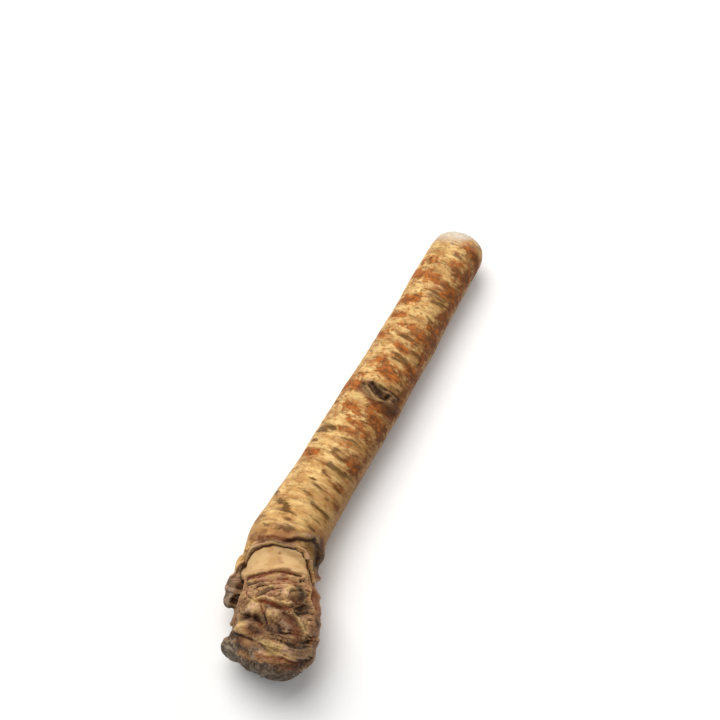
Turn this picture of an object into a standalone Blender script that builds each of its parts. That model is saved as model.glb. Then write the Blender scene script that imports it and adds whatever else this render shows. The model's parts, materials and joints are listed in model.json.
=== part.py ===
"""A horseradish root lying on its side, as one solid.

The root lies along +Y with its knotted crown at -Y and its snapped tip at +Y, resting on z = 0.
The body is a tube of rings swept along a bent centre line. Everything that grew on it, the torn
bark collar, the leaf scars, the buds, the pits and the scars of side roots, is relief raised from
that tube by formulas, and the few forms that overhang are lumps joined to it by a Boolean union.

Distances in the tables are millimetres. "Along" is the distance from the crown end along the
centre line. "Round" is the angle about it in degrees: 0 is the +X side, 90 the top, 180 the -X
side and 270 the underside.
"""

import math

import bmesh
import bpy
from mathutils import Matrix, Vector, noise

MM = 0.001

# The centre line on the ground, from the crown end to the tip, as (x, y).
CENTRE_LINE = [
    (3.5, -141), (-3.9, -124), (-12.1, -102), (-19.9, -79), (-19.4, -55),
    (-15, -18), (-10, 24), (-5.5, 66), (-2, 106), (1.8, 146.5),
]

# The mean radius at distances along the centre line.
RADII = [
    (0, 17.0), (5, 20.6), (12, 23.1), (32, 23.6), (41, 22.2), (50, 20.0), (58, 18.9), (64, 19.4),
    (74, 21.2), (92, 20.0), (120, 19.0), (165, 18.6), (190, 17.8), (240, 17.0), (268, 16.7), (292, 16.5),
]

# Rings round the tube, closer together where the form is finer.
SIDES = 50
RING_STEPS = [(0, 1.9), (78, 3.0), (96, 6.5), (160, 2.2), (182, 6.5), (268, 3.5)]

# The crown's old cut end: how it leans across and under, how far its two sides bow back and its
# middle domes out, and how rough it is. The lean dies out over END_REACH along the root.
END_SLANT = math.radians(7)
END_UNDERCUT = math.radians(9)
END_BOW = 3.5
END_DOME = 3.0
END_DOME_POWER = 0.7
END_ROUGHNESS = 1.6
END_REACH = 26
END_RINGS = 8

# The snapped tip: the length of its shoulder, which is square with a rounded rim.
TIP_ROUNDING = 11.0
TIP_RIM_POWER = 0.58
TIP_FACE_POWER = 1.3
TIP_ROUGHNESS = 0.7
TIP_RINGS = 6

# The rest on the ground. The underside comes down at three feet, under the crown, under the bend
# and near the tip, and is clear of the ground between them. Its lowest skin is pressed flat.
FEET = (26, 112, 236)
FOOT_LENGTH = 15
CLEARANCE = 0.9
FLAT_DEPTH = 0.6
HEIGHT_STEP = 6.0

# The torn edge of the bark above the pale neck: where it is at the top, how far its two ends run
# back towards the crown on either side, and how much it wanders. The bark steps up at the edge,
# which has a curled lip with a groove in front of it, and the step fades away along the shaft.
COLLAR_ALONG = 65.5
COLLAR_DROOP = 13.0
COLLAR_WANDER = 1.5
COLLAR_STEP = 1.5
COLLAR_FADE = (6, 30)
COLLAR_LIP = 1.0
COLLAR_LIP_WIDTH = 1.7
COLLAR_GROOVE = 0.5
COLLAR_GROOVE_BACK = 2.6

# Leaf scars: ridges round the crown as (along, tilt, wave, height, width). Each has a groove on
# its shaft side, as a share of its height.
SCAR_GROOVE = 0.6
SCAR_GROOVE_BACK = 1.6
LEAF_SCARS = [
    (49.5, 1.5, 1.4, 1.0, 1.7),
    (45.0, -2.0, 1.8, 1.3, 1.9),
    (39.5, 2.5, 2.4, 1.2, 2.1),
    (33.0, -2.5, 3.0, 1.0, 2.3),
    (26.0, 2.0, 3.2, 0.9, 2.4),
    (18.5, -1.5, 2.6, 0.9, 2.2),
]

# The fold that parts the lower tier of the crown from the upper one: a crease that swings and
# wanders as it goes round, and a ledge below it.
FOLD_ALONG = 11.5
FOLD_SWING = 2.6
FOLD_WANDER = 2.0
FOLD_DEPTH = 1.9
FOLD_WIDTH = 1.8
FOLD_LEDGE = 1.0
FOLD_LEDGE_BACK = 4.2
FOLD_LEDGE_WIDTH = 3.0

# Buds and swellings: (along, round, length, breadth, height).
BUDS = [
    (30, 120, 9, 8, 2.0),
    (25, 88, 6, 6, 1.9),
    (32, 78, 5, 5, 1.5),
    (19, 70, 7, 7, 1.7),
    (20, 130, 7, 8, 1.8),
    (27, 20, 10, 10, 2.6),
    (37, 8, 7, 8, 1.8),
    (35, 215, 10, 11, 2.4),
    (22, 190, 9, 8, 1.8),
    (25, 250, 10, 12, 1.4),
    (30, 322, 9, 9, 2.2),
    (17, 345, 8, 9, 1.6),
    (14, 232, 9, 10, 1.6),
    (108, 196, 12, 9, 1.0),
    (216, 332, 12, 8, 1.1),
    (252, 150, 10, 7, 0.8),
]

# Pits between the buds, deep and rough.
PITS = [
    (37, 62, 6, 5, 3.2),
    (31, 54, 6, 4, 2.6),
    (25, 106, 5, 4, 1.6),
    (21, 84, 3, 4, 1.2),
    (38, 166, 7, 4, 2.0),
    (28, 156, 6, 5, 1.8),
    (33, 290, 6, 5, 2.4),
    (23, 214, 6, 4, 1.6),
]

# Scars of side roots on the shaft, as (along, round, length, breadth, height): an eye of two lips
# round a hollow. The lips and the hollow are placed in shares of the length.
EYE_LIPS_AT = 0.55
EYE_LIP_WIDTH = 0.33
EYE_HOLLOW_WIDTH = 0.3
EYE_HOLLOW_DEPTH = 1.1
EYE_REACH = 1.25
EYE_WANDER = 1.2
SIDE_SCARS = [
    (172, 76, 5.5, 12.0, 1.3),
    (166, 34, 5.0, 9.0, 1.0),
    (196, 212, 4.5, 8.0, 0.9),
    (116, 300, 5.0, 9.0, 1.0),
    (240, 272, 4.0, 7.0, 0.8),
]

# Slow unevenness of the shaft and finer knottiness of the crown, which ends in the neck.
SHAFT_UNEVENNESS = 0.45
CROWN_UNEVENNESS = 0.9
CROWN_ENDS = (44, 56)

# Lumps that overhang the tube: (name, along, round, how far out the middle is, half sizes along,
# out and across, lean of the long axis towards the crown's outside in degrees).
LUMPS = [
    ("stub", 46.5, 176, 24.2, (9.2, 5.4, 6.0), 5),
    ("stub_tip", 40, 178, 26.2, (5.6, 4.2, 5.2), 0),
    ("flap", 55, 170, 20.8, (10.0, 3.8, 6.0), 7),
    ("curl", 73, 10, 20.6, (7.0, 3.2, 4.8), -4),
    ("heel", 15.6, 184, 17.9, (9.0, 12.5, 13.0), -8),
    ("back_stub", 41, 318, 20.4, (5.8, 4.2, 5.0), 5),
    ("side_root", 196, 210, 16.4, (4.4, 3.2, 4.4), 0),
]
LUMP_ROUGHNESS = 0.12


def smooth_step(low, high, value):
    """0 below low, 1 above high and a smooth rise between."""
    t = min(1.0, max(0.0, (value - low) / (high - low)))
    return t * t * (3 - 2 * t)


def smooth_through(points, t):
    """The value at t of a Catmull-Rom curve through points, where t counts the points."""
    last = len(points) - 1
    i = min(int(t), last - 1)
    f = t - i
    p0, p1, p2, p3 = (points[min(max(k, 0), last)] for k in (i - 1, i, i + 1, i + 2))
    return (p1 * 2 + (p2 - p0) * f + (p0 * 2 - p1 * 5 + p2 * 4 - p3) * f ** 2
            + (p1 * 3 - p0 - p2 * 3 + p3) * f ** 3) * 0.5


def measured_line(steps_each=40):
    """The centre line as (distance along, point) pairs, closely spaced."""
    points = [Vector((x, y, 0)) for x, y in CENTRE_LINE]
    line = [(0.0, points[0])]
    for k in range(1, (len(points) - 1) * steps_each + 1):
        point = smooth_through(points, k / steps_each)
        line.append((line[-1][0] + (point - line[-1][1]).length, point))
    return line


LINE = measured_line()
LENGTH = LINE[-1][0]


def at_distance(along):
    """The point on the centre line at a distance along it, on straight runs past its ends."""
    if along <= 0:
        first, second = LINE[0], LINE[1]
    elif along >= LENGTH:
        first, second = LINE[-2], LINE[-1]
    else:
        k = next(i for i, (d, _) in enumerate(LINE) if d > along)
        first, second = LINE[k - 1], LINE[k]
    share = (along - first[0]) / (second[0] - first[0])
    return first[1].lerp(second[1], share)


def heading(along):
    """The direction of the centre line, towards the tip."""
    return (at_distance(along + 6) - at_distance(along - 6)).normalized()


def mean_radius(along):
    """The tube's radius without relief, eased between the table's rows."""
    for (a, from_radius), (b, to_radius) in zip(RADII, RADII[1:]):
        if along <= b:
            return from_radius + (to_radius - from_radius) * smooth_step(a, b, along)
    return RADII[-1][1]


def ridge(distance, width):
    """1 on a line, falling smoothly to nothing within about twice the width of it."""
    return math.exp(-(distance / width) ** 2)


def turn_between(a, b):
    """The signed angle from b to a in degrees, between -180 and 180."""
    return (a - b + 180) % 360 - 180


def skin_noise(along, angle, fine_along, fine_round, seed):
    """Seamless noise on the tube, from -1 to 1, with its own fineness along and round."""
    turn = math.radians(angle)
    where = Vector((math.cos(turn) * fine_round, math.sin(turn) * fine_round, along * fine_along))
    return noise.noise(where + Vector((seed * 7.3, seed * 3.1, seed * 5.7)))


def bump(along, angle, radius, place):
    """1 at the middle of a rounded patch and 0 past its edge."""
    at, turn, length, breadth = place
    across = math.radians(turn_between(angle, turn)) * radius
    d = ((along - at) / length) ** 2 + (across / breadth) ** 2
    return (1 - d) ** 2 if d < 1 else 0.0


def buds_and_pits(along, angle, radius):
    """The rounded swellings less the hollows."""
    up = sum(h * bump(along, angle, radius, (a, t, l, b)) for a, t, l, b, h in BUDS)
    down = sum(h * bump(along, angle, radius, (a, t, l, b)) for a, t, l, b, h in PITS)
    return up - down


def leaf_scars(along, angle):
    """Wavy ridges that run round the crown, fading in and out."""
    height = 0.0
    for k, (at, tilt, wave, tall, width) in enumerate(LEAF_SCARS):
        turn = math.radians(angle)
        line = at + tilt * math.sin(turn + k) + wave * skin_noise(0, angle, 1, 1.6, k + 1)
        fade = 0.55 + 0.75 * skin_noise(0, angle, 1, 1.2, k + 11)
        d = (along - line) / width
        profile = ridge(d, 1) - SCAR_GROOVE * ridge(d + SCAR_GROOVE_BACK, 1)
        height += tall * max(fade, 0.1) * profile
    return height


def collar_line(angle):
    """Where the torn edge of the bark is: highest on top, lowest at the two sides."""
    side = abs(math.cos(math.radians(angle)))
    below = smooth_step(0.0, 1.0, -math.sin(math.radians(angle)))
    droop = COLLAR_DROOP * side ** 3 * (1 - 0.6 * below)
    return COLLAR_ALONG - droop + COLLAR_WANDER * skin_noise(0, angle, 1, 2.4, 21)


def collar(along, angle):
    """The bark's step above the neck, with a curled lip along its edge."""
    d = along - collar_line(angle)
    step = COLLAR_STEP * smooth_step(-1.6, 1.2, d) * (1 - smooth_step(*COLLAR_FADE, d))
    lip = COLLAR_LIP * ridge(d - 1.2, COLLAR_LIP_WIDTH)
    return step + lip - COLLAR_GROOVE * ridge(d + COLLAR_GROOVE_BACK, COLLAR_LIP_WIDTH)


def fold(along, angle):
    """The deep crease between the crown's two tiers, and the ledge below it."""
    turn = math.radians(angle)
    swing = FOLD_SWING * math.sin(turn * 2 + 0.8)
    d = along - FOLD_ALONG - swing - FOLD_WANDER * skin_noise(0, angle, 1, 1.8, 31)
    crease = FOLD_DEPTH * ridge(d, FOLD_WIDTH)
    return FOLD_LEDGE * ridge(d + FOLD_LEDGE_BACK, FOLD_LEDGE_WIDTH) - crease


def side_scars(along, angle, radius):
    """Eyes left by side roots: two lips across the root round a hollow."""
    height = 0.0
    for k, (at, turn, length, breadth, tall) in enumerate(SIDE_SCARS):
        across = math.radians(turn_between(angle, turn)) * radius / breadth
        reach = max(0.0, 1 - (across / EYE_REACH) ** 2)
        d = (along - at - EYE_WANDER * skin_noise(0, angle, 1, 3.0, 41 + k)) / length
        lips = ridge(abs(d) - EYE_LIPS_AT, EYE_LIP_WIDTH)
        hollow = EYE_HOLLOW_DEPTH * ridge(d, EYE_HOLLOW_WIDTH)
        height += tall * reach * (lips - hollow)
    return height


def unevenness(along, angle):
    """Slow waves on the shaft, and knots on the crown."""
    crown = 1 - smooth_step(*CROWN_ENDS, along)
    slow = skin_noise(along, angle, 0.045, 0.9, 51) + 0.5 * skin_noise(along, angle, 0.12, 1.3, 52)
    knots = skin_noise(along, angle, 0.16, 2.6, 53) + 0.6 * skin_noise(along, angle, 0.33, 4.8, 54)
    return SHAFT_UNEVENNESS * slow + CROWN_UNEVENNESS * crown * knots


def skin_radius(along, angle):
    """The distance from the centre line to the skin."""
    base = mean_radius(along)
    relief = (leaf_scars(along, angle) + fold(along, angle) + collar(along, angle)
              + buds_and_pits(along, angle, base) + side_scars(along, angle, base)
              + unevenness(along, angle))
    return base + relief


def underside(along):
    """How far the skin reaches below the centre line."""
    return max(-math.sin(math.radians(a)) * skin_radius(along, a) for a in range(230, 311, 5))


def axis_heights():
    """The height of the centre line every HEIGHT_STEP along it, from the underside near there."""
    count = int(LENGTH / HEIGHT_STEP) + 2
    reaches = [underside(k * HEIGHT_STEP) for k in range(count)]
    heights = []
    for k in range(count):
        near = reaches[max(0, k - 2):k + 3]
        foot = max(ridge(k * HEIGHT_STEP - at, FOOT_LENGTH) for at in FEET)
        heights.append(sum(near) / len(near) + CLEARANCE * (1 - foot))
    return heights


HEIGHTS = axis_heights()


def axis_height(along):
    """The height of the centre line above the ground."""
    return smooth_through(HEIGHTS, min(max(along, 0.0), LENGTH) / HEIGHT_STEP)


def place(along, angle, radius):
    """A point of the tube from its distance along, angle and radius, in millimetres."""
    forward = heading(along)
    side = forward.cross(Vector((0, 0, 1)))
    turn = math.radians(angle)
    centre = at_distance(along) + Vector((0, 0, axis_height(along)))
    return centre + side * (math.cos(turn) * radius) + Vector((0, 0, math.sin(turn) * radius))


def ring_distances():
    """The distances along of the tube's rings, from RING_STEPS."""
    found = [0.0]
    while found[-1] < LENGTH - TIP_ROUNDING:
        step = [s for start, s in RING_STEPS if found[-1] >= start][-1]
        found.append(found[-1] + step)
    found[-1] = LENGTH - TIP_ROUNDING
    return found


def end_shift(angle, radius):
    """How far along the leaning cut at the crown is from the end of the centre line."""
    turn = math.radians(angle)
    across = math.tan(END_SLANT) * math.cos(turn)
    under = math.tan(END_UNDERCUT) * math.sin(turn)
    return END_BOW * math.cos(turn) ** 2 - (across + under) * radius


def ring_of_tube(along):
    """One ring round the tube; near the crown end it leans with the slanted cut."""
    lean = 1 - smooth_step(0, END_REACH, along)
    points = []
    for k in range(SIDES):
        angle = 360 * k / SIDES
        radius = skin_radius(along, angle)
        points.append(place(along + lean * end_shift(angle, radius), angle, radius))
    return points


def ring_of_end(share):
    """One ring on the crown's cut end, share of the way from its rim to its middle."""
    points = []
    for k in range(SIDES):
        angle = 360 * k / SIDES
        rim = skin_radius(0, angle)
        radius = rim * (1 - share)
        rough = END_ROUGHNESS * skin_noise(radius, angle, 0.25, 0.12 * radius, 61)
        dome = -END_DOME * math.sin(math.pi / 2 * min(1.0, share * 2)) ** END_DOME_POWER
        along = end_shift(angle, radius) + dome + rough * smooth_step(0, 0.3, share)
        points.append(place(along, angle, radius))
    return points


def ring_of_tip(share):
    """One ring on the tip, share of the way from the end of the shaft to the middle of the tip."""
    turn = share * math.pi / 2
    points = []
    for k in range(SIDES):
        angle = 360 * k / SIDES
        rim = skin_radius(LENGTH - TIP_ROUNDING, angle)
        radius = rim * math.cos(turn) ** TIP_RIM_POWER
        rough = TIP_ROUGHNESS * skin_noise(radius, angle, 0.2, 0.16 * radius, 71)
        shoulder = TIP_ROUNDING * math.sin(turn) ** TIP_FACE_POWER
        along = LENGTH - TIP_ROUNDING + shoulder + rough * share
        points.append(place(along, angle, radius))
    return points


def tube_mesh():
    """The closed tube as a bmesh: rings bridged in order, and a fan at each end."""
    rings = [ring_of_end(k / END_RINGS) for k in range(END_RINGS - 1, 0, -1)]
    rings += [ring_of_tube(along) for along in ring_distances()]
    rings += [ring_of_tip(k / TIP_RINGS) for k in range(1, TIP_RINGS)]
    mesh = bmesh.new()
    loops = [[mesh.verts.new(point * MM) for point in ring] for ring in rings]
    for lower, upper in zip(loops, loops[1:]):
        for k in range(SIDES):
            n = (k + 1) % SIDES
            mesh.faces.new((lower[k], lower[n], upper[n], upper[k]))
    for loop in (loops[0], loops[-1]):
        middle = sum((v.co for v in loop), Vector()) / SIDES
        hub = mesh.verts.new(middle)
        for k in range(SIDES):
            mesh.faces.new((loop[k], loop[(k + 1) % SIDES], hub))
    bmesh.ops.recalc_face_normals(mesh, faces=mesh.faces)
    return mesh


def lump_object(name, along, angle, out, halves, lean):
    """One overhanging lump: an icosphere stretched, roughened and set on the tube."""
    mesh = bmesh.new()
    bmesh.ops.create_icosphere(mesh, subdivisions=2, radius=1.0)
    seed = Vector((along, angle * 0.1, out))
    for vertex in mesh.verts:
        vertex.co *= 1 + LUMP_ROUGHNESS * noise.noise(vertex.co * 1.7 + seed)
        vertex.co = Vector([c * h for c, h in zip(vertex.co, halves)])
    forward = heading(along)
    middle = place(along, angle, 0)
    outward = (place(along, angle, 1) - middle).normalized()
    across = forward.cross(outward)
    turned = Matrix((forward, outward, across)).transposed().to_4x4()
    where = Matrix.Translation((middle + outward * out) * MM)
    tilt = Matrix.Rotation(math.radians(lean), 4, "Z")
    mesh.transform(where @ turned @ tilt @ Matrix.Scale(MM, 4))
    return object_from(name, mesh)


def object_from(name, mesh):
    """A new object in the scene that holds the bmesh."""
    data = bpy.data.meshes.new(name)
    mesh.to_mesh(data)
    mesh.free()
    made = bpy.data.objects.new(name, data)
    bpy.context.scene.collection.objects.link(made)
    return made


def bark_material():
    """Dry, matt tan bark."""
    material = bpy.data.materials.new("bark")
    material.use_nodes = True
    shader = material.node_tree.nodes["Principled BSDF"]
    shader.inputs["Base Color"].default_value = (0.56, 0.36, 0.17, 1)
    shader.inputs["Roughness"].default_value = 0.62
    shader.inputs["Metallic"].default_value = 0.0
    return material


def apply_modifier(target, kind, **settings):
    """Adds one modifier, applies it and leaves its result in the mesh."""
    modifier = target.modifiers.new(kind.lower(), kind)
    for name, value in settings.items():
        setattr(modifier, name, value)
    bpy.context.view_layer.update()
    graph = bpy.context.evaluated_depsgraph_get()
    mesh = bpy.data.meshes.new_from_object(target.evaluated_get(graph))
    target.modifiers.clear()
    target.data = mesh


def stand_on_feet(target):
    """Levels the lowest points of the three feet by a slight shear, then presses them flat."""
    vertices = target.data.vertices
    lows = []
    for along in FEET:
        middle = at_distance(along) * MM
        near = [v.co for v in vertices if abs(v.co.y - middle.y) < FOOT_LENGTH * MM]
        lows.append(min(near, key=lambda point: point.z).copy())
    first, second, third = lows
    normal = (second - first).cross(third - first)
    for vertex in vertices:
        across = vertex.co - first
        level = first.z - (normal.x * across.x + normal.y * across.y) / normal.z
        vertex.co.z = max(0.0, vertex.co.z - level - FLAT_DEPTH * MM)


def centre_on_origin(target):
    """Puts the middle of the root's box over the origin."""
    xs = [v.co.x for v in target.data.vertices]
    ys = [v.co.y for v in target.data.vertices]
    middle = Vector(((min(xs) + max(xs)) / 2, (min(ys) + max(ys)) / 2, 0))
    for vertex in target.data.vertices:
        vertex.co -= middle


def build_root():
    """The root as one object: the tube with its lumps joined."""
    root = object_from("horseradish_root", tube_mesh())
    lumps = bpy.data.collections.new("lumps")
    bpy.context.scene.collection.children.link(lumps)
    for row in LUMPS:
        lump = lump_object(*row)
        bpy.context.scene.collection.objects.unlink(lump)
        lumps.objects.link(lump)
    apply_modifier(root, "BOOLEAN", operation="UNION", operand_type="COLLECTION",
                   collection=lumps, solver="EXACT")
    for lump in list(lumps.objects):
        bpy.data.objects.remove(lump)
    bpy.data.collections.remove(lumps)
    stand_on_feet(root)
    centre_on_origin(root)
    root.data.materials.clear()
    root.data.materials.append(bark_material())
    root.data.shade_smooth()
    return root


for leftover in list(bpy.data.objects):
    bpy.data.objects.remove(leftover)
build_root()
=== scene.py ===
# %% [markdown]
# # A horseradish root
# The part is one fresh root that lies on a table: a knotted crown with an old cut end, a pale
# neck under the torn edge of the bark, and a long shaft with a broken tip. Its plain solid comes
# from CAD. This lesson gives it its skin. We start by loading the solid, because every later step
# is placed by it.

import json
import math
import random

import bpy
import numpy as np
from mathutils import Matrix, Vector, noise

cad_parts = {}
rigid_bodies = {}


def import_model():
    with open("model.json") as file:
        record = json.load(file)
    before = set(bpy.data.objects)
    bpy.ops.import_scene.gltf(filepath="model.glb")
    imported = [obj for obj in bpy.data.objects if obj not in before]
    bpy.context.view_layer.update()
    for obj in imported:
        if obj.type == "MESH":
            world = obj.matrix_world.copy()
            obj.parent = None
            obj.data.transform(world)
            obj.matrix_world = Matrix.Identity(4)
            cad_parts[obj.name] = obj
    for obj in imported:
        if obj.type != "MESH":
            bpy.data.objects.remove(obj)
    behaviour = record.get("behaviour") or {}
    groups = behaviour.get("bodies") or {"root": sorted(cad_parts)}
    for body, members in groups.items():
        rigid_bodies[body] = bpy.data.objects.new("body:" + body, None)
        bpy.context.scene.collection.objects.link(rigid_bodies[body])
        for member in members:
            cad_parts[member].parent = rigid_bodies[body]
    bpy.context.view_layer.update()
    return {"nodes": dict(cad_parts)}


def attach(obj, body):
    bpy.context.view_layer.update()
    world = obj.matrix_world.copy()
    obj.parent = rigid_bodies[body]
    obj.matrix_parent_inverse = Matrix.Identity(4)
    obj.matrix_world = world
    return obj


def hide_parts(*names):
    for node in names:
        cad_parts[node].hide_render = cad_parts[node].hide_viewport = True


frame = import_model()
solid = frame["nodes"]["horseradish_root"]
MM = 0.001

# %% [markdown]
# ## The camera
# The picture was taken from high above the crown end, a little to its right. The rings round the
# root gave the height of the camera: a circle seen from 66 degrees above looks this round. The
# long lens keeps the far tip nearly as thick as it is. We put one known point of the root on its
# pixel.

# %% Camera
PICTURE = 720
CAMERA_UP = math.radians(66)
CAMERA_ROUND = math.radians(22.7)
CAMERA_AWAY = 0.798
LENS = 70
SENSOR = 36
AIM = Vector((2.2, -9.7, 18)) * MM
AIM_PIXEL = (350, 455)

bpy.ops.object.camera_add()
camera = bpy.context.object
camera.data.lens = LENS
camera.data.sensor_width = SENSOR
back = Vector((math.sin(CAMERA_ROUND) * math.cos(CAMERA_UP),
               -math.cos(CAMERA_ROUND) * math.cos(CAMERA_UP), math.sin(CAMERA_UP)))
right = Vector((math.cos(CAMERA_ROUND), math.sin(CAMERA_ROUND), 0))
up = back.cross(right)
focal = PICTURE * LENS / SENSOR
to_side = (AIM_PIXEL[0] - PICTURE / 2) / focal
to_low = (AIM_PIXEL[1] - PICTURE / 2) / focal
camera.location = AIM + (back - right * to_side + up * to_low) * CAMERA_AWAY
camera.rotation_euler = back.to_track_quat("Z", "Y").to_euler()
bpy.context.scene.camera = camera
print("camera at", [round(c, 3) for c in camera.location])

# %% [markdown]
# ## The light
# The picture has the even light of a white tent, with a little more of it from the upper left, so
# its shadows are pale and soft. A bright white world does the tent's work and one wide lamp does
# most of the rest. The shadow beside the shaft is paler than the one beside the crown, so a small
# white card on the right throws some light back there. Standard colours keep the table white.

# %% World, lamp and card
WORLD_LIGHT = 0.32
LAMP_POWER = 47.5
LAMP_WIDTH = 1.75
LAMP_FROM = Vector((-0.66, 0.48, 1.86))
LAMP_COLOUR = (1, 0.985, 0.955)
CARD_POWER = 0.75
CARD_WIDTH = 0.45
CARD_FROM = Vector((0.36, 0.46, 0.34))
CARD_AIM = Vector((0.03, 0.10, 0))

world = bpy.data.worlds.new("tent")
bpy.context.scene.world = world
world.use_nodes = True
world.node_tree.nodes["Background"].inputs["Color"].default_value = (1, 1, 1, 1)
world.node_tree.nodes["Background"].inputs["Strength"].default_value = WORLD_LIGHT
bpy.ops.object.light_add(type="AREA", location=LAMP_FROM)
lamp = bpy.context.object
lamp.data.size = LAMP_WIDTH
lamp.data.energy = LAMP_POWER
lamp.data.color = LAMP_COLOUR
lamp.rotation_euler = LAMP_FROM.to_track_quat("Z", "Y").to_euler()
bpy.ops.object.light_add(type="AREA", location=CARD_FROM)
card = bpy.context.object
card.data.size = CARD_WIDTH
card.data.energy = CARD_POWER
card.rotation_euler = (CARD_FROM - CARD_AIM).to_track_quat("Z", "Y").to_euler()
bpy.context.scene.view_settings.view_transform = "Standard"

# %% [markdown]
# ## Shader maths as plain expressions
# Colours and relief are worked out with a great many nodes, and a tangle of them is hard to read.
# One small class wraps a socket, so that an ordinary Python expression adds the nodes: numbers
# become Math nodes, vectors Vector Math and colours Mix. Every other node comes from one method.

# %% A socket that can be calculated with
class Wire:
    """An output socket on which Python's operators add nodes."""

    def __init__(self, tree, socket):
        self.tree = tree
        self.socket = socket

    def node(self, kind, settings, values, output=0):
        """Adds a node, sets it up, feeds its sockets with values or wires and returns an output."""
        made = self.tree.nodes.new(kind)
        for name, setting in settings.items():
            setattr(made, name, setting)
        for name, value in values.items():
            if isinstance(value, Wire):
                self.tree.links.new(value.socket, made.inputs[name])
            else:
                made.inputs[name].default_value = value
        return Wire(self.tree, made.outputs[output])

    def joined(self, operation, first, second):
        """first and second combined as numbers, vectors or colours, whichever they are."""
        kinds = [w.socket.type for w in (first, second) if isinstance(w, Wire)]
        if "RGBA" in kinds:
            settings = {"data_type": "RGBA", "blend_type": operation}
            values = {0: 1.0, 6: as_colour(first), 7: as_colour(second)}
            return self.node("ShaderNodeMix", settings, values, 2)
        if "VECTOR" in kinds:
            values = {0: as_vector(first), 1: as_vector(second)}
            return self.node("ShaderNodeVectorMath", {"operation": operation}, values)
        return self.node("ShaderNodeMath", {"operation": operation}, {0: first, 1: second})

    def __add__(self, other):
        return self.joined("ADD", self, other)

    def __sub__(self, other):
        return self.joined("SUBTRACT", self, other)

    def __mul__(self, other):
        return self.joined("MULTIPLY", self, other)

    def __rsub__(self, other):
        return self.joined("SUBTRACT", other, self)

    __radd__ = __add__
    __rmul__ = __mul__

    def mix(self, low, high):
        """The colour low where this number is 0, and the colour high where it is 1."""
        settings = {"data_type": "RGBA"}
        values = {0: self, 6: as_colour(low), 7: as_colour(high)}
        return self.node("ShaderNodeMix", settings, values, 2)

    def rise(self, low, high):
        """0 where this number is under low, 1 where it is over high, with a smooth rise between."""
        settings = {"interpolation_type": "SMOOTHSTEP"}
        values = {"Value": self, "From Min": low, "From Max": high}
        return self.node("ShaderNodeMapRange", settings, values)


def as_colour(value):
    """A wire as it is, or a number or three numbers as a colour."""
    if isinstance(value, Wire):
        return value
    return (*value, 1.0) if isinstance(value, tuple) else (value, value, value, 1.0)


def as_vector(value):
    """A wire as it is, or a number or three numbers as a vector."""
    if isinstance(value, Wire):
        return value
    return value if isinstance(value, tuple) else (value, value, value)


# %% Materials that start from those sockets
def new_material(name):
    """A material, its main shader and a wire to start from."""
    material = bpy.data.materials.new(name)
    material.use_nodes = True
    shader = material.node_tree.nodes["Principled BSDF"]
    return material, shader, Wire(material.node_tree, None)


def feed(shader, **wires):
    """Links wires to the shader's sockets, with an underscore for a space in the name."""
    for name, wire in wires.items():
        wire.tree.links.new(wire.socket, shader.inputs[name.replace("_", " ")])


def grain(start, where, scale, detail=4.0, roughness=0.55, warp=0.0):
    """Noise about 0.5 at the points of a vector wire."""
    values = {"Vector": where, "Scale": scale, "Detail": detail,
              "Roughness": roughness, "Distortion": warp}
    return start.node("ShaderNodeTexNoise", {}, values)


# %% [markdown]
# ## The table
# A wide pale sheet. It isn't part of the root.

# %% Table
TABLE_WIDTH = 6
PAPER_WHITE = (0.91, 0.91, 0.915, 1)

bpy.ops.mesh.primitive_plane_add(size=TABLE_WIDTH)
table = bpy.context.object
table.name = "table"
paper, paper_shader, start = new_material("white_paper")
paper_shader.inputs["Roughness"].default_value = 0.9
paper_shader.inputs["Base Color"].default_value = PAPER_WHITE
table.data.materials.append(paper)

# %% [markdown]
# ## A fine skin over the solid
# The solid has some ten thousand flat faces, far too coarse for bark. We copy it, merge its loose
# triangles, and let a voxel remesh cover it in small even squares. The crown and the scar are
# much finer than the shaft, so their squares are halved once more, and a little smoothing takes
# the facets off.

# %% Work on one piece at a time
def only(piece):
    """Selects one piece and makes it the one that operators act on."""
    bpy.ops.object.select_all(action="DESELECT")
    bpy.context.view_layer.objects.active = piece
    piece.select_set(True)


def finish_with(piece, kind, **settings):
    """Adds a modifier to the piece, sets it up and applies it."""
    only(piece)
    bpy.ops.object.modifier_add(type=kind)
    modifier = piece.modifiers[-1]
    for name, setting in settings.items():
        setattr(modifier, name, setting)
    bpy.ops.object.modifier_apply(modifier=modifier.name)


# %% Copy, merge and remesh
VOXEL = 1.12 * MM
FINE_CROWN_ENDS = -73 * MM
FINE_SCAR = (14 * MM, 37 * MM)
MERGE = 0.01 * MM
FACET_ROUNDS = 14

only(solid)
bpy.ops.object.duplicate()
skin = bpy.context.object
skin.name = "root_skin"
bpy.ops.object.parent_clear(type="CLEAR_KEEP_TRANSFORM")
bpy.ops.object.mode_set(mode="EDIT")
bpy.ops.mesh.select_all(action="SELECT")
bpy.ops.mesh.remove_doubles(threshold=MERGE)
bpy.ops.object.mode_set(mode="OBJECT")
finish_with(skin, "SUBSURF", levels=1, render_levels=1)
finish_with(skin, "REMESH", mode="VOXEL", voxel_size=VOXEL)
print("faces after the remesh:", len(skin.data.polygons))

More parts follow.
